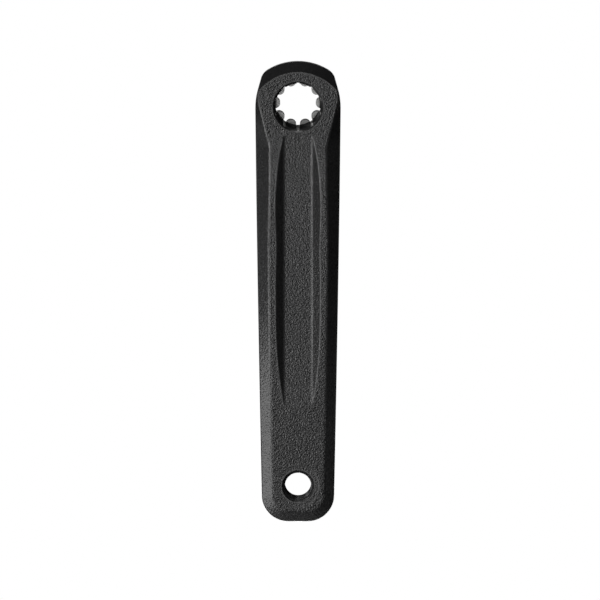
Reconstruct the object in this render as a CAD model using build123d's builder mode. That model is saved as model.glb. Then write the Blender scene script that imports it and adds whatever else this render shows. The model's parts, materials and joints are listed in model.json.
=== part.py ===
from build123d import *
import math
import os

# Bicycle crank arm, forged in one piece and finish-machined. Millimetres.
# The origin is the centre of the spindle socket's mouth, on the boss's end face.
# +Z points up along the arm from the pedal eye to the hub, +Y points inboard along the spindle,
# and the outer face looks towards -Y. The arm is the same on both sides of X = 0.

# Main lengths
crank_length = 170.0  # spindle axis to pedal axis
end_reach = 16.35  # pedal axis to the end of the arm
crown_height = 19.2  # spindle axis to the top of the hub
hub_depth = 26.1  # outer hub face to boss end face
hub_wall = 16.4  # outer hub face to the hub's inner face
eye_offset = 14.15  # how far the eye's outer face stands outside the hub's
eye_thickness = 13.6

# Front outline
hub_half_width = 19.25
eye_half_width = 16.3
side_bow = 0.15  # how far the arm's sides bow out between hub and eye
end_corner_radius = 11.9
lean_height = 2.7  # above the spindle axis, where the hub's sides start to lean in
lean_angle = 16.2
lean_blend = 2.0  # rounding where the lean starts
crown_radius = 26.3
crown_corner_radius = 7.6
crown_drop = 3.6  # how much lower the crown is at the outer face
crown_land = 4.4  # flat part of the crown, next to the inner face

# Bend of the arm seen from the side, as heights below the spindle axis
outer_bend_start = 14.0
outer_bend_end = 110.0
outer_bend_power = 3.0  # a higher power bends the arm more near the hub
inner_bend_start = 10.5
inner_bend_end = 103.5
inner_bend_power = 2.2
bend_round = 5.0  # half the length over which the bend's start is rounded

# Long chamfers. The outer one grows out of the hub's side and is steepest below the hub.
chamfer_start = -6.0  # below the spindle axis, so this is above it
chamfer_neck = 18.0
chamfer_settled = 71.0
chamfer_width = 4.95
chamfer_neck_extra = 1.25
chamfer_depth_hub = 5.2
chamfer_depth_eye = 2.1
chamfer_shallow_start = 37.6
chamfer_shallow_end = 154.6
inner_chamfer_hub = 0.7
inner_chamfer_arm = 3.95
inner_chamfer_eye = 2.5
inner_chamfer_start = 0.0
inner_chamfer_full = 13.0
inner_chamfer_shrink = 65.0
inner_chamfer_small = 146.0
edge_setback = 0.6  # how far back from an outer edge its rounding starts
edge_share = 0.4  # most of a short side that one rounding may take

# Recessed panel of the outer face
panel_half_width = 6.25
panel_depth = 3.2
panel_wall_run = 3.75  # width of a full-depth side wall seen from the front
panel_top = 12.3  # below the spindle axis
panel_bottom = 133.7
panel_top_run = 27.0  # length over which the panel sinks to full depth
panel_bottom_run = 39.6
panel_fillet = 0.7

# Boss round the spindle
boss_radius = 14.5
boss_fillet = 5.5
collar_radius = 13.1
collar_length = 1.8

# Spindle socket: extractor thread outside, splines inside
extractor_radius = 11.0
extractor_depth = 17.5
extractor_chamfer = 0.35
spline_count = 10
spline_root_radius = 10.6
spline_tip_radius = 8.05
spline_rib_radius = 2.35
socket_chamfer = 0.5

# Pedal eye
pedal_radius = 7.144
pedal_chamfer = 0.2
washer_seat_radius = 9.4
washer_seat_depth = 0.15

# Worked-out places
outer_hub_y = -hub_depth
inner_hub_y = hub_wall - hub_depth
outer_eye_y = outer_hub_y - eye_offset
inner_eye_y = outer_eye_y + eye_thickness
end_z = -crank_length - end_reach
corner_z = end_z + end_corner_radius
corner_x = eye_half_width - end_corner_radius
crown_centre_z = crown_height - crown_radius
clear = 4.0  # how far cutters stand out past the metal
crown_gap = 0.1  # the crown's corners start this far outside the leaning sides
edge_setbacks = [edge_setback, edge_setback, 0, 0]  # only the outer edges are rounded


def part_way(drop, start, end):
    return min(max((drop - start) / (end - start), 0.0), 1.0)


def ease(drop, start, end):
    u = part_way(drop, start, end)
    return u * u * (3.0 - 2.0 * u)


def sweep_out(drop, start, end, power):
    # Curve that leaves the hub at an angle, with a rounded start, and ends along the eye's face.
    past = drop - start
    if abs(past) < bend_round:
        past = (past + bend_round) ** 2 / (4.0 * bend_round)
    u = min(max(past / (end - start), 0.0), 1.0)
    return 1.0 - (1.0 - u) ** power


def outer_y(z):
    return outer_hub_y - eye_offset * sweep_out(-z, outer_bend_start, outer_bend_end, outer_bend_power)


def inner_y(z):
    fall = inner_hub_y - inner_eye_y
    return inner_hub_y - fall * sweep_out(-z, inner_bend_start, inner_bend_end, inner_bend_power)


def half_width(z):
    above = z - lean_height
    lean = (above + math.hypot(above, lean_blend)) / 2.0
    down = part_way(-z, 0.0, -corner_z)
    straight = hub_half_width + (eye_half_width - hub_half_width) * down
    bow = 4.0 * side_bow * down * (1.0 - down)
    return straight + bow - lean * math.tan(math.radians(lean_angle))


def section_corners(z):
    # Right half of the arm's section from the outer face round to the inner face.
    width = half_width(z)
    settled = chamfer_neck_extra * (1.0 - ease(-z, chamfer_neck, chamfer_settled))
    outer_width = (chamfer_width + settled) * part_way(-z, chamfer_start, chamfer_neck)
    depth_change = chamfer_depth_eye - chamfer_depth_hub
    shallow = ease(-z, chamfer_shallow_start, chamfer_shallow_end)
    outer_depth = chamfer_depth_hub + depth_change * shallow
    grown = ease(-z, inner_chamfer_start, inner_chamfer_full)
    inner_size = inner_chamfer_hub + (inner_chamfer_arm - inner_chamfer_hub) * grown
    shrunk = ease(-z, inner_chamfer_shrink, inner_chamfer_small)
    inner_size += (inner_chamfer_eye - inner_chamfer_arm) * shrunk
    return [
        (width - outer_width, outer_y(z)),
        (width, outer_y(z) + outer_depth),
        (width, inner_y(z) - inner_size),
        (width - inner_size, inner_y(z)),
    ]


def rounded_face(corners, setbacks):
    # Closed outline through the corners. A corner with a setback is rounded by a curve tangent to both sides.
    points = [Vector(*corner) for corner in corners]
    count = len(points)
    rims = []
    for i, corner in enumerate(points):
        before = points[i - 1] - corner
        after = points[(i + 1) % count] - corner
        back = min(setbacks[i], edge_share * before.length, edge_share * after.length)
        rims.append((corner + before.normalized() * back, corner + after.normalized() * back))
    with BuildLine() as outline:
        for i, corner in enumerate(points):
            if setbacks[i]:
                Bezier(rims[i][0], corner, rims[i][1])
            Line(rims[i][1], rims[(i + 1) % count][0])
    make_face(outline.edges())


def arm_section(z):
    right = section_corners(z)
    left = [(-x, y) for x, y in reversed(right)]
    rounded_face(right + left, edge_setbacks + edge_setbacks[::-1])


def panel_sink(z):
    # Share of the panel's depth at a height. Past the tips it is below zero, so the panel runs out.
    top = (-z - panel_top) / panel_top_run
    bottom = (panel_bottom + z) / panel_bottom_run
    u = min(top, bottom, 1.0)
    return 1.0 - (1.0 - u) ** 2


hub_top_z = crown_height + clear
neck_z = -chamfer_neck
hub_steps = 11
arm_steps = 12
hub_stations = [hub_top_z + (neck_z - hub_top_z) * i / hub_steps for i in range(hub_steps)]
arm_shares = [(1.0 - math.cos(math.pi * i / arm_steps)) / 2.0 for i in range(arm_steps + 1)]
arm_stations = [neck_z + (corner_z - neck_z) * share for share in arm_shares]
panel_steps = 10
panel_over = 1.5  # how far the panel's cutter runs past its tips
panel_middle = (panel_top + panel_bottom) / 2.0
panel_reach = (panel_bottom - panel_top) / 2.0 + panel_over
panel_angles = [math.pi * i / panel_steps for i in range(panel_steps + 1)]
panel_stations = [panel_reach * math.cos(angle) - panel_middle for angle in panel_angles]

with BuildPart() as crank_arm:
    # Bent arm and hub block
    for z in hub_stations + arm_stations:
        with BuildSketch(Plane.XY.offset(z)):
            arm_section(z)
    loft()

    # Rounded end below the pedal eye: the last section turned round both corners
    end_corners = section_corners(corner_z)
    end_inside = [(corner_x, inner_y(corner_z)), (corner_x, outer_y(corner_z))]
    end_profile = [(x - corner_x, y) for x, y in end_corners + end_inside]
    end_setbacks = edge_setbacks + [0, 0]
    for side in (1, -1):
        with BuildSketch(Plane((side * corner_x, 0, corner_z), (side, 0, 0), (0, 0, side))):
            rounded_face(end_profile, end_setbacks)
        revolve(axis=Axis((side * corner_x, 0, corner_z), (0, side, 0)), revolution_arc=90)
    with BuildSketch(Plane((-corner_x, 0, corner_z), (0, 0, -1), (1, 0, 0))):
        rounded_face(end_profile, end_setbacks)
    extrude(amount=2 * corner_x)

    # Boss round the spindle, with a fillet at its foot and a narrower collar at its end
    shoulder_y = -collar_length - (boss_radius - collar_radius)
    buried_y = (outer_hub_y + inner_hub_y) / 2
    with BuildSketch(Plane.XY):
        with BuildLine():
            Polyline(
                (0, 0),
                (collar_radius, 0),
                (collar_radius, -collar_length),
                (boss_radius, shoulder_y),
                (boss_radius, buried_y),
                (0, buried_y),
                close=True,
            )
        make_face()
    revolve(axis=Axis.Y)
    boss_face = crank_arm.faces(Select.LAST).filter_by(GeomType.CYLINDER).sort_by(Axis.Y)[0]
    fillet(boss_face.edges().filter_by(GeomType.BSPLINE), boss_fillet)

    # Crown of the hub: an arc with rounded corners between the leaning sides
    lean_run = math.tan(math.radians(lean_angle))
    top_half_width = hub_half_width + crown_gap - (hub_top_z - lean_height) * lean_run
    low_z = crown_centre_z - crown_radius / 2
    low_half_width = hub_half_width + crown_gap + (lean_height - low_z) * lean_run
    with BuildSketch(Plane.XZ.offset(-clear)) as crown:
        with BuildLine():
            Polyline(
                (-low_half_width, low_z),
                (low_half_width, low_z),
                (top_half_width, hub_top_z),
                (-top_half_width, hub_top_z),
                close=True,
            )
        make_face()
        with Locations((0, crown_centre_z)):
            Circle(crown_radius, mode=Mode.INTERSECT)
        fillet(crown.vertices().group_by(Axis.Y)[-1], crown_corner_radius)
        with Locations((0, low_z + clear)):
            Rectangle(2 * low_half_width, low_z + clear - end_z + clear, align=(Align.CENTER, Align.MAX))
    extrude(amount=hub_depth + eye_offset + 2 * clear, mode=Mode.INTERSECT)

    # Sloped front of the crown: a cone about the crown's own axis, over the top half only
    crown_slope = crown_drop / (hub_wall - crown_land)
    front_y = outer_hub_y - clear
    front_radius = crown_radius - crown_drop - crown_slope * clear
    back_y = inner_hub_y - crown_land
    past_radius = crown_radius + clear
    with BuildSketch(Plane((0, 0, crown_centre_z))):
        with BuildLine():
            Polyline(
                (front_radius, front_y),
                (crown_radius, back_y),
                (past_radius, back_y),
                (past_radius, front_y),
                close=True,
            )
        make_face()
    revolve(axis=Axis((0, 0, crown_centre_z), (0, -1, 0)), revolution_arc=180, mode=Mode.SUBTRACT)

    # Recessed panel between the two rails of the outer face
    for z in panel_stations:
        floor_y = outer_y(z) + panel_depth * panel_sink(z)
        mouth_y = outer_y(z) - clear
        spread = (floor_y - mouth_y) * panel_wall_run / panel_depth
        mouth_x = panel_half_width + spread
        with BuildSketch(Plane.XY.offset(z)):
            floor = [(-panel_half_width, floor_y), (panel_half_width, floor_y)]
            mouth = [(mouth_x, mouth_y), (-mouth_x, mouth_y)]
            rounded_face(floor + mouth, [panel_fillet, panel_fillet, 0, 0])
    loft(mode=Mode.SUBTRACT)

    # Extractor thread's wall, opened out at its mouth
    mouth_radius = extractor_radius + extractor_chamfer
    seat_y = outer_hub_y + extractor_depth
    with BuildSketch(Plane.XY):
        with BuildLine():
            Polyline(
                (0, outer_hub_y - clear),
                (mouth_radius + clear, outer_hub_y - clear),
                (extractor_radius, outer_hub_y + extractor_chamfer),
                (extractor_radius, seat_y),
                (0, seat_y),
                close=True,
            )
        make_face()
    revolve(axis=Axis.Y, mode=Mode.SUBTRACT)

    # Splined socket: round ribs stand in from the root circle, with grooves straight up and down
    rib_centre_radius = spline_tip_radius + spline_rib_radius
    with BuildSketch(Plane.XZ):
        Circle(spline_root_radius)
        with PolarLocations(rib_centre_radius, spline_count, 90 + 180 / spline_count):
            Circle(spline_rib_radius, mode=Mode.SUBTRACT)
    extrude(amount=-seat_y, mode=Mode.SUBTRACT)

    # Lead-in at the socket's mouth, where the spindle enters
    lead_radius = spline_root_radius + socket_chamfer
    with BuildSketch(Plane.XY):
        with BuildLine():
            Polyline((0, clear), (lead_radius + clear, clear), (0, -lead_radius), close=True)
        make_face()
    revolve(axis=Axis.Y, mode=Mode.SUBTRACT)

    # Pedal thread's wall through the eye, opened out at both mouths, and the washer seat outside
    seat_eye_y = outer_eye_y + washer_seat_depth
    with BuildSketch(Plane((0, 0, -crank_length))):
        with BuildLine():
            Polyline(
                (0, outer_eye_y - clear),
                (washer_seat_radius, outer_eye_y - clear),
                (washer_seat_radius, seat_eye_y),
                (pedal_radius + pedal_chamfer, seat_eye_y),
                (pedal_radius, seat_eye_y + pedal_chamfer),
                (pedal_radius, inner_eye_y - pedal_chamfer),
                (pedal_radius + pedal_chamfer + clear, inner_eye_y + clear),
                (0, inner_eye_y + clear),
                close=True,
            )
        make_face()
    revolve(axis=Axis((0, 0, -crank_length), (0, 1, 0)), mode=Mode.SUBTRACT)
crank_arm.part.label = "crank_arm"
os.makedirs("parts", exist_ok=True)
export_step(crank_arm.part, "parts/crank_arm.step")
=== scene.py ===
import json
import math

import bpy
import numpy as np
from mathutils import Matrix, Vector


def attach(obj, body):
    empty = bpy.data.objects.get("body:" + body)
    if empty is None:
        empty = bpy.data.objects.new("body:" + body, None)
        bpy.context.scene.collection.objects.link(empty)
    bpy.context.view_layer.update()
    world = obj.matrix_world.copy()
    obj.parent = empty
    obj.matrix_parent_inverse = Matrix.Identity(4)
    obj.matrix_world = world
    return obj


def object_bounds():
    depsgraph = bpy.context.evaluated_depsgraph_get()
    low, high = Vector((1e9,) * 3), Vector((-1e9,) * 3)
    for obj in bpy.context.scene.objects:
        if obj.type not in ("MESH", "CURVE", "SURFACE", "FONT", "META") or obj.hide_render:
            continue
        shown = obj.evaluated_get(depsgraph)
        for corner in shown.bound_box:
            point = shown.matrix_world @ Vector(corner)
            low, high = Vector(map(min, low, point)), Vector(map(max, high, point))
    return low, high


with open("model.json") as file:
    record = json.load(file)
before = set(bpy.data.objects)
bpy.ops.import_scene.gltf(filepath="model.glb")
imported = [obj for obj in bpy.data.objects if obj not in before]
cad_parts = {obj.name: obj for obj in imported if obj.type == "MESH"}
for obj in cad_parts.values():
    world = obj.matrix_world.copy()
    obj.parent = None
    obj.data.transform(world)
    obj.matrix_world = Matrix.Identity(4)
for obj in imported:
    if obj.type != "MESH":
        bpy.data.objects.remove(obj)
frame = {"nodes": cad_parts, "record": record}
cadLow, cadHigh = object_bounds()
print("frame loaded:", sorted(frame["nodes"]))

mm = 0.001
mounts = {mount["name"]: mount for mount in frame["record"]["mounts"]}


# Node helpers: each adds one node, sets its inputs and gives back its main output
def addNode(tree, kind, inputs=None, **settings):
    node = tree.nodes.new(kind)
    for name, value in settings.items():
        setattr(node, name, value)
    for socket, value in (inputs or {}).items():
        target = node.inputs[socket]
        if isinstance(value, bpy.types.NodeSocket):
            tree.links.new(value, target)
        else:
            target.default_value = value
    return node


def mathNode(tree, operation, first, second=0.0, clamp=False):
    return addNode(tree, "ShaderNodeMath", {0: first, 1: second}, operation=operation, use_clamp=clamp).outputs[0]


def mixValue(tree, factor, low, high):
    return addNode(tree, "ShaderNodeMapRange", {0: factor, 3: low, 4: high}).outputs[0]


def mixColour(tree, factor, first, second):
    node = addNode(tree, "ShaderNodeMix", {0: factor, 6: first, 7: second}, data_type="RGBA")
    return node.outputs[2]


def stepBelow(tree, value, edge, soft):
    # one below the edge, zero above it, with a soft step between
    return addNode(tree, "ShaderNodeMapRange", {0: value, 1: edge - soft, 2: edge + soft, 3: 1.0, 4: 0.0}).outputs[0]


def holeRadius(tree, axes, mount):
    # distance from the axis of a hole that runs along Y
    acrossX = mathNode(tree, "POWER", mathNode(tree, "SUBTRACT", axes[0], mount["pos_m"][0]), 2.0)
    acrossZ = mathNode(tree, "POWER", mathNode(tree, "SUBTRACT", axes[2], mount["pos_m"][2]), 2.0)
    return mathNode(tree, "SQRT", mathNode(tree, "ADD", acrossX, acrossZ))


def newMaterial(name):
    material = bpy.data.materials.new(name)
    material.use_nodes = True
    tree = material.node_tree
    tree.nodes.clear()
    output = tree.nodes.new("ShaderNodeOutputMaterial")
    shader = tree.nodes.new("ShaderNodeBsdfPrincipled")
    tree.links.new(shader.outputs[0], output.inputs[0])
    return material, tree, shader


# Black coat: a fine pebbled grain, lost inside the spindle socket where the metal is bare
coat = {
    "dark": (0.002, 0.002, 0.002, 1.0),
    "light": (0.020, 0.020, 0.0205, 1.0),
    "lightLift": 0.4,  # added to the grain's height before it mixes dark and light
    "roughLow": 0.30,
    "roughHigh": 0.36,
    "roughScale": 60.0,
    "grainSize": 0.74 * mm,
    "grainHeight": 0.30 * mm,
    "fineScale": 1.2,  # finer noise, against the grain's cells
    "cellDepth": 0.8,
    "edgeRadius": 0.35 * mm,
    "panelRadius": 0.55 * mm,  # rounder inner edges of the rails, at these distances from the middle
    "panelInner": 6.9 * mm,
    "panelOuter": 11.5 * mm,
    "panelSoft": 0.2 * mm,
    "edgeSamples": 8,
    "edgeClear": 0.9 * mm,  # length of the rays that look for an edge
    "clearSamples": 12,
    "clearLow": 0.9,  # share of rays that meet nothing at which the grain is gone
    "rubbed": (0.065, 0.065, 0.066, 1.0),  # grey of the painted highlight along the edges
    "paintedHighlightStart": 0.985,  # shares of such rays between which the grey comes in
    "rubbedFull": 0.88,
    "paintedHighlightTop": -15.0 * mm,  # heights between which edges get the painted highlight
    "paintedHighlightBottom": -150.0 * mm,
    "paintedHighlightSoft": 1.0 * mm,
    "flatFacing": 0.995,  # full grain on faces this square to Y, and a share of it on slopes
    "slopeFacing": 0.95,
    "slopeShare": 0.42,
    "endShare": 0.6,  # that share at the arm's round end
    "endTop": -178.0 * mm,
    "endSoft": 5.0 * mm,
    "rimWidth": 0.36 * mm,  # machined rim round each outer mouth, free of grain
    "rimSoft": 0.01 * mm,
}
bare = {
    "dark": (0.36, 0.36, 0.36, 1.0),
    "light": (0.50, 0.50, 0.49, 1.0),
    "roughLow": 0.42,
    "roughHigh": 0.54,
    "streakSize": 0.35 * mm,
    "streakStretch": 0.06,
    "socketRadius": 11.2 * mm,
    "paintedShadeRadius": 9.75 * mm,  # the ribs' outer ends stay black beyond this, a ring of painted shade where the thread relief's shadow falls
    "endDepth": 0.1 * mm,  # depth of those ends
    "pastEnd": 0.03 * mm,  # how far the bare metal runs past them
    "softEdge": 0.02 * mm,
}


def blackCoatMaterial():
    material, tree, shader = newMaterial("blackCoat")
    coords = addNode(tree, "ShaderNodeTexCoord").outputs
    place = coords["Object"]
    axes = addNode(tree, "ShaderNodeSeparateXYZ", {0: place}).outputs

    # bare zone: within the socket's radius and length
    radius = holeRadius(tree, axes, mounts["extractor_thread"])
    socketEnd = mounts["spindle_socket"]["dims"]["length_mm"] * mm
    # at the socket's inner end the bare zone narrows, leaving a ring of black coat as painted shade round the ribs'
    # ends
    atEnd = stepBelow(tree, axes[1], bare["endDepth"] - socketEnd, bare["softEdge"])
    reach = mixValue(tree, atEnd, bare["socketRadius"], bare["paintedShadeRadius"])
    inRadius = stepBelow(tree, mathNode(tree, "SUBTRACT", radius, reach), 0.0, bare["softEdge"])
    outboard = stepBelow(tree, axes[1], -socketEnd - bare["pastEnd"], bare["softEdge"])
    isBare = mathNode(tree, "SUBTRACT", inRadius, outboard, True)

    # smooth zone: both holes and the machined rims of their mouths
    rims = [stepBelow(tree, holeRadius(tree, axes, mount),
                      mount["dims"]["r_mm"] * mm + coat["rimWidth"], coat["rimSoft"])
            for mount in (mounts["extractor_thread"], mounts["pedal_thread"])]
    isSmooth = mathNode(tree, "MAXIMUM", rims[0], rims[1])

    # grain: rounded cells broken up by a finer noise
    cellScale = 1.0 / coat["grainSize"]
    cells = addNode(tree, "ShaderNodeTexVoronoi", {"Vector": place, "Scale": cellScale, "Smoothness": 1.0},
                    feature="SMOOTH_F1").outputs["Distance"]
    fine = addNode(tree, "ShaderNodeTexNoise", {"Vector": place, "Scale": cellScale * coat["fineScale"],
                                                "Detail": 0.0}).outputs[0]
    grain = mathNode(tree, "SUBTRACT", fine, mathNode(tree, "MULTIPLY", cells, coat["cellDepth"]))

    # broaching streaks along the spindle axis
    stretch = (1.0, bare["streakStretch"], 1.0)
    alongSpindle = addNode(tree, "ShaderNodeMapping", {"Vector": place, "Scale": stretch}).outputs[0]
    streaks = addNode(tree, "ShaderNodeTexNoise", {"Vector": alongSpindle,
                                                   "Scale": 1.0 / bare["streakSize"]}).outputs[0]

    # near an edge, short rays into the metal or out of it meet the next face. Along the arm, between the hub and the
    # eye, edges get a painted highlight: a lighter grey mixed into their colour.
    unmet = [addNode(tree, "ShaderNodeAmbientOcclusion", {"Distance": coat["edgeClear"]}, samples=coat["clearSamples"],
                     inside=inward, only_local=True).outputs["AO"] for inward in (True, False)]
    unmetLeast = mathNode(tree, "MINIMUM", unmet[0], unmet[1])
    nearEdge = addNode(tree, "ShaderNodeMapRange", {0: unmetLeast, 1: coat["paintedHighlightStart"],
                                                    2: coat["rubbedFull"]}).outputs[0]
    alongArm = mathNode(tree, "SUBTRACT", stepBelow(tree, axes[2], coat["paintedHighlightTop"], coat["paintedHighlightSoft"]),
                        stepBelow(tree, axes[2], coat["paintedHighlightBottom"], coat["paintedHighlightSoft"]))
    hasPaintedHighlight = mathNode(tree, "MULTIPLY", nearEdge, alongArm)

    # colour, roughness and metal
    lightness = mathNode(tree, "ADD", grain, coat["lightLift"], True)
    grainColour = mixColour(tree, lightness, coat["dark"], coat["light"])
    # painted highlight: grey mixed into the coat's colour near the edges
    coatColour = mixColour(tree, hasPaintedHighlight, grainColour, coat["rubbed"])
    bareColour = mixColour(tree, streaks, bare["dark"], bare["light"])
    broad = addNode(tree, "ShaderNodeTexNoise", {"Vector": place, "Scale": coat["roughScale"],
                                                 "Detail": 2.0}).outputs[0]
    coatRough = mixValue(tree, broad, coat["roughLow"], coat["roughHigh"])
    bareRough = mixValue(tree, streaks, bare["roughLow"], bare["roughHigh"])
    tree.links.new(mixColour(tree, isBare, coatColour, bareColour), shader.inputs["Base Color"])
    tree.links.new(mixValue(tree, isBare, coatRough, bareRough), shader.inputs["Roughness"])
    tree.links.new(isBare, shader.inputs["Metallic"])

    # edges softened and grain raised, except in the smooth zone. The grain fades near edges and is lower on slopes.
    plain = addNode(tree, "ShaderNodeNewGeometry").outputs["Normal"]
    across = mathNode(tree, "ABSOLUTE", axes[0])
    onPanel = mathNode(tree, "SUBTRACT", stepBelow(tree, across, coat["panelOuter"], coat["panelSoft"]),
                       stepBelow(tree, across, coat["panelInner"], coat["panelSoft"]))
    rounding = mixValue(tree, onPanel, coat["edgeRadius"], coat["panelRadius"])
    edges = addNode(tree, "ShaderNodeBevel", {"Radius": rounding}, samples=coat["edgeSamples"]).outputs[0]
    clear = addNode(tree, "ShaderNodeMapRange", {0: unmetLeast, 1: coat["clearLow"], 2: 1.0}).outputs[0]
    facing = mathNode(tree, "ABSOLUTE", addNode(tree, "ShaderNodeSeparateXYZ", {0: coords["Normal"]}).outputs[1])
    atRoundEnd = stepBelow(tree, axes[2], coat["endTop"], coat["endSoft"])
    raised = addNode(tree, "ShaderNodeMapRange", {0: facing, 1: coat["slopeFacing"], 2: coat["flatFacing"],
                                                  3: mixValue(tree, atRoundEnd, coat["slopeShare"], coat["endShare"]),
                                                  4: 1.0}).outputs[0]
    strength = mathNode(tree, "MULTIPLY", clear, raised)
    bump = addNode(tree, "ShaderNodeBump", {"Strength": strength, "Distance": coat["grainHeight"], "Height": grain,
                                            "Normal": edges}).outputs[0]
    normal = addNode(tree, "ShaderNodeMix", {0: isSmooth, 4: bump, 5: plain}, data_type="VECTOR").outputs[1]
    tree.links.new(normal, shader.inputs["Normal"])
    return material


armObject = frame["nodes"]["crank_arm"]
armObject.data.materials.clear()
armObject.data.materials.append(blackCoatMaterial())
print("black coat on the arm")


# Threads: a closed sleeve round each hole's wall whose inside is a helix.
# Radius = minor + depth times a triangle wave of (distance along the axis / pitch - turn), cut by a cone at the outer
# mouth, and at the inner one where innerCone is set.
extractorThread = {
    "mount": "extractor_thread",
    "pitch": 1.0 * mm,
    "minor": 10.3 * mm,
    "hand": 1.0,
    "segments": 360,
    "rowsPerPitch": 10,
    "innerCone": False,
    "stripCount": 10,  # grooves of the socket carried through the crests
    "stripWidth": 1.35 * mm,
    "stripRadius": 10.72 * mm,
}
pedalThread = {
    "mount": "pedal_thread",
    "pitch": 1.27 * mm,
    "minor": 5.9 * mm,
    "hand": -1.0,  # left-hand thread
    "segments": 240,
    "rowsPerPitch": 10,
    "innerCone": True,
    "stripCount": 0,
    "stripWidth": 0.0,
    "stripRadius": 0.0,
}
threadFit = {
    "overlap": 0.02 * mm,  # of the sleeve's outside into the wall
    "crestShare": 0.12,
    "rootShare": 0.12,
    "sharpAngle": 35.0,
    "swirlSize": 0.4 * mm,
    "roughLow": 0.28,
    "roughHigh": 0.42,
    # the threads' coat reflects half as much as the arm's coat: a dimmed copy of it, painted shade in the holes
    "shadedSpecular": 0.25,
}


def threadMaterial(name):
    material, tree, shader = newMaterial(name)
    place = addNode(tree, "ShaderNodeTexCoord").outputs["Object"]
    isBare = addNode(tree, "ShaderNodeAttribute", attribute_name="bareShare").outputs["Fac"]
    swirl = addNode(tree, "ShaderNodeTexNoise", {"Vector": place, "Scale": 1.0 / threadFit["swirlSize"],
                                                 "Detail": 2.0}).outputs[0]
    coatColour = mixColour(tree, swirl, coat["dark"], coat["light"])
    bareColour = mixColour(tree, swirl, bare["dark"], bare["light"])
    tree.links.new(mixColour(tree, isBare, coatColour, bareColour), shader.inputs["Base Color"])
    tree.links.new(isBare, shader.inputs["Metallic"])
    rough = mixValue(tree, swirl, threadFit["roughLow"], threadFit["roughHigh"])
    tree.links.new(rough, shader.inputs["Roughness"])
    # lowered specular level: painted shade on the threads
    shader.inputs["Specular IOR Level"].default_value = threadFit["shadedSpecular"]
    return material


def threadSleeve(name, settings):
    mount = mounts[settings["mount"]]
    major = mount["dims"]["r_mm"] * mm
    length = mount["dims"]["length_mm"] * mm
    hole = mount["pos_m"]
    start = hole[1] - length / 2
    depth = major - settings["minor"]
    rowCount = int(round(length / settings["pitch"] * settings["rowsPerPitch"])) + 1
    along = np.linspace(0.0, length, rowCount)[:, None]
    angle = np.linspace(0.0, 2 * np.pi, settings["segments"], endpoint=False)[None, :]

    turn = along / settings["pitch"] - settings["hand"] * angle / (2 * np.pi)
    wave = np.abs(2.0 * (turn % 1.0) - 1.0)
    flats = threadFit["crestShare"] + threadFit["rootShare"]
    wave = np.clip((wave - threadFit["crestShare"]) / (1.0 - flats), 0.0, 1.0)
    radius = settings["minor"] + depth * wave
    radius = np.maximum(radius, major - along)
    if settings["innerCone"]:
        radius = np.maximum(radius, major - (length - along))
    bareShare = np.zeros_like(radius)
    if settings["stripCount"]:
        step = 2 * np.pi / settings["stripCount"]
        fromGroove = np.abs((angle - np.pi / 2 + step / 2) % step - step / 2)
        inStrip = fromGroove * settings["stripRadius"] < settings["stripWidth"] / 2
        cut = inStrip & (radius < settings["stripRadius"])
        radius = np.where(cut, settings["stripRadius"], radius)
        bareShare = np.where(inStrip & (radius <= settings["stripRadius"]), 1.0, 0.0)

    # the outside's two rows close the sleeve from its inner end back to its mouth
    outside = np.full((2, settings["segments"]), major + threadFit["overlap"])
    radius = np.vstack([np.minimum(radius, major), outside])
    along = np.vstack([along, [[length], [0.0]]])
    bareShare = np.vstack([bareShare, np.zeros_like(outside)])
    points = np.stack([
        hole[0] + radius * np.cos(angle),
        np.broadcast_to(start + along, radius.shape),
        hole[2] + radius * np.sin(angle),
    ], axis=-1).reshape(-1, 3)

    rows, columns = radius.shape
    row = np.arange(rows)[:, None]
    column = np.arange(columns)[None, :]
    nextRow = (row + 1) % rows
    nextColumn = (column + 1) % columns
    corners = [row * columns + column, row * columns + nextColumn,
               nextRow * columns + nextColumn, nextRow * columns + column]
    quads = np.stack([np.broadcast_to(corner, (rows, columns)) for corner in corners], axis=-1).reshape(-1, 4)

    mesh = bpy.data.meshes.new(name)
    mesh.from_pydata(points, [], quads)
    mesh.update()
    share = mesh.attributes.new("bareShare", "FLOAT", "POINT")
    share.data.foreach_set("value", bareShare.astype(np.float32).ravel())
    mesh.shade_smooth()
    mesh.set_sharp_from_angle(angle=math.radians(threadFit["sharpAngle"]))
    mesh.materials.append(threadMaterial(name + "Finish"))
    sleeve = bpy.data.objects.new(name, mesh)
    bpy.context.scene.collection.objects.link(sleeve)
    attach(sleeve, "root")
    print(name, "rows", rows, "columns", columns)
    return sleeve


threadSleeve("extractorThread", extractorThread)
threadSleeve("pedalThread", pedalThread)


# Floor: a pale round sheet well below the arm, which hangs as it would on its spindle
floor = {
    "drop": 0.6,
    "radius": 0.36,
    "fadeStart": 0.12,  # from here out it turns white
    "fadeShare": 0.95,  # of the radius, where it is all white
    "colour": (0.86, 0.86, 0.86, 1.0),
    "roughness": 0.9,
    "rings": 24,
    "segments": 96,
}


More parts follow.
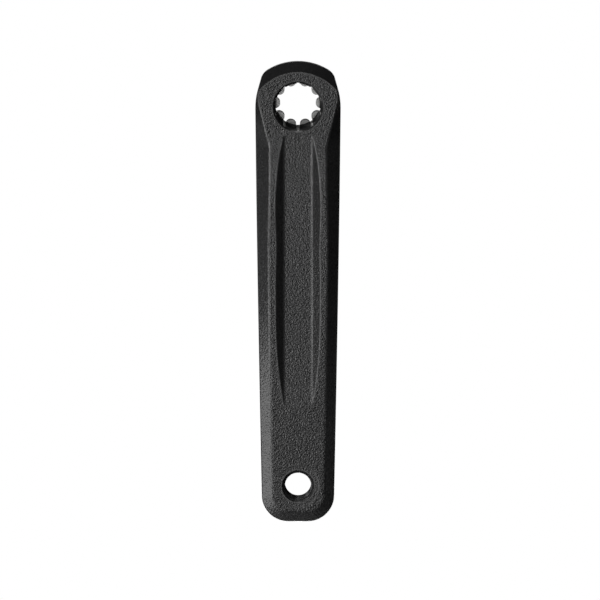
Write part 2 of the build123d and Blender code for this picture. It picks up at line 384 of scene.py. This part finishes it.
def paleFloor():
    # rings of points at equal steps from the middle, closed by a fan there
    distance = np.linspace(0.0, floor["radius"], floor["rings"] + 1)[1:, None]
    angle = np.linspace(0.0, 2 * np.pi, floor["segments"], endpoint=False)[None, :]
    level = cadLow.z - floor["drop"]
    points = np.stack([distance * np.cos(angle), distance * np.sin(angle),
                       np.full((floor["rings"], floor["segments"]), level)], axis=-1).reshape(-1, 3)
    points = np.vstack([points, [[0.0, 0.0, level]]])
    columns = floor["segments"]
    row = np.arange(floor["rings"] - 1)[:, None]
    column = np.arange(columns)[None, :]
    after = (column + 1) % columns
    quads = np.stack([row * columns + column, (row + 1) * columns + column,
                      (row + 1) * columns + after, row * columns + after], axis=-1).reshape(-1, 4)
    middle = len(points) - 1
    fan = np.stack([np.full(columns, middle), column[0], after[0]], axis=-1)
    mesh = bpy.data.meshes.new("floor")
    mesh.from_pydata(points, [], quads.tolist() + fan.tolist())
    mesh.update()
    material, tree, shader = newMaterial("paleFloor")
    place = addNode(tree, "ShaderNodeTexCoord").outputs["Object"]
    axes = addNode(tree, "ShaderNodeSeparateXYZ", {0: place}).outputs
    flat = addNode(tree, "ShaderNodeCombineXYZ", {0: axes[0], 1: axes[1]}).outputs[0]
    reach = addNode(tree, "ShaderNodeVectorMath", {0: flat}, operation="LENGTH").outputs["Value"]
    fade = addNode(tree, "ShaderNodeMapRange",
                   {0: reach, 1: floor["fadeStart"], 2: floor["radius"] * floor["fadeShare"]},
                   interpolation_type="SMOOTHSTEP").outputs[0]
    shader.inputs["Base Color"].default_value = floor["colour"]
    shader.inputs["Roughness"].default_value = floor["roughness"]
    rays = addNode(tree, "ShaderNodeLightPath").outputs
    mirrored = mathNode(tree, "MAXIMUM", rays["Is Glossy Ray"], rays["Is Transmission Ray"])
    seen = mathNode(tree, "MAXIMUM", rays["Is Camera Ray"], mirrored)
    white = addNode(tree, "ShaderNodeEmission", {"Strength": seen}).outputs[0]
    blend = addNode(tree, "ShaderNodeMixShader", {0: fade, 1: shader.outputs[0], 2: white}).outputs[0]
    output = next(node for node in tree.nodes if node.type == "OUTPUT_MATERIAL")
    tree.links.new(blend, output.inputs[0])
    mesh.materials.append(material)
    sheet = bpy.data.objects.new("floor", mesh)
    bpy.context.scene.collection.objects.link(sheet)


paleFloor()
print("floor laid")


# Camera: a long lens, level with the arm's middle and a little above
view = {
    "aim": (0.9 * mm, -24.0 * mm, -87.6 * mm),
    "azimuth": 0.0,
    "elevation": 7.5,
    "distance": 2.4,
    "frameWidth": 270.4 * mm,  # what the frame takes in at the aim
    "sensor": 36.0,
    "clipEnd": 20.0,
}


def awayFrom(settings):
    # unit step from the aim towards an azimuth (0 is the outer face's side) and elevation
    turn = math.radians(settings["azimuth"])
    rise = math.radians(settings["elevation"])
    return Vector((math.sin(turn) * math.cos(rise), -math.cos(turn) * math.cos(rise), math.sin(rise)))


def placeCamera():
    camera = bpy.data.objects.new("camera", bpy.data.cameras.new("camera"))
    bpy.context.scene.collection.objects.link(camera)
    back = awayFrom(view)
    camera.location = Vector(view["aim"]) + back * view["distance"]
    camera.rotation_euler = (-back).to_track_quat("-Z", "Y").to_euler()
    camera.data.sensor_width = view["sensor"]
    camera.data.lens = view["sensor"] * view["distance"] / view["frameWidth"]
    camera.data.clip_end = view["clipEnd"]
    bpy.context.scene.camera = camera


placeCamera()


# Lamps: a large soft box low on the left, smaller ones high on the left, in front and overhead, a weak one at the left
# side and two low ones behind
lamps = {
    "keyBox": {"azimuth": -48.0, "elevation": -19.0, "distance": 1.3, "width": 0.8, "height": 0.9, "power": 11.4},
    "leftBox": {"azimuth": -41.0, "elevation": 26.0, "distance": 1.3, "width": 0.35, "height": 0.55, "power": 6.2},
    "frontBox": {"azimuth": -5.0, "elevation": 26.0, "distance": 1.3, "width": 0.4, "height": 0.4, "power": 2.6},
    "nearBox": {"azimuth": 4.0, "elevation": -8.0, "distance": 1.3, "width": 0.4, "height": 0.4, "power": 2.2},
    "topBox": {"azimuth": 0.0, "elevation": 86.0, "distance": 1.3, "width": 0.5, "height": 0.5, "power": 3.6},
    "leftSide": {"azimuth": -104.0, "elevation": -3.0, "distance": 1.3, "width": 0.5, "height": 0.9, "power": 0.6},
    "leftBack": {"azimuth": -168.0, "elevation": -25.0, "distance": 1.4, "width": 0.6, "height": 0.6, "power": 8.0},
    "rightBack": {"azimuth": 168.0, "elevation": -25.0, "distance": 1.4, "width": 0.6, "height": 0.6, "power": 8.0},
}


def placeLamp(name, settings):
    lamp = bpy.data.lights.new(name, "AREA")
    lamp.shape = "RECTANGLE"
    lamp.size = settings["width"]
    lamp.size_y = settings["height"]
    lamp.energy = settings["power"]
    lampObject = bpy.data.objects.new(name, lamp)
    bpy.context.scene.collection.objects.link(lampObject)
    back = awayFrom(settings)
    lampObject.location = Vector(view["aim"]) + back * settings["distance"]
    lampObject.rotation_euler = (-back).to_track_quat("-Z", "Y").to_euler()
    lampObject.visible_camera = False


for lampName, lampSettings in lamps.items():
    placeLamp(lampName, lampSettings)


# Surroundings: white to the camera, white behind the arm in reflections, a dim room everywhere else
room = {
    "colour": (1.0, 1.0, 1.0, 1.0),
    "ambient": 0.02,
    "backdropStart": 0.985,  # share of a ray's direction along Y at which the white begins
    "backdropFull": 0.999,
}


def surroundings():
    world = bpy.data.worlds.new("studio")
    bpy.context.scene.world = world
    world.use_nodes = True
    tree = world.node_tree
    tree.nodes.clear()
    direction = addNode(tree, "ShaderNodeTexCoord").outputs["Generated"]
    axes = addNode(tree, "ShaderNodeSeparateXYZ", {0: direction}).outputs
    behind = addNode(tree, "ShaderNodeMapRange",
                     {0: axes[1], 1: room["backdropStart"], 2: room["backdropFull"]}).outputs[0]
    rays = addNode(tree, "ShaderNodeLightPath").outputs
    mirrored = mathNode(tree, "MAXIMUM", rays["Is Glossy Ray"], rays["Is Transmission Ray"])
    backdrop = mathNode(tree, "MULTIPLY", mirrored, behind)
    seen = mathNode(tree, "MAXIMUM", rays["Is Camera Ray"], backdrop)
    level = mixValue(tree, seen, room["ambient"], 1.0)
    background = addNode(tree, "ShaderNodeBackground", {"Color": room["colour"], "Strength": level}).outputs[0]
    output = tree.nodes.new("ShaderNodeOutputWorld")
    tree.links.new(background, output.inputs[0])


surroundings()
bpy.context.scene.view_settings.view_transform = "Standard"
print("camera, lamps and surroundings set")
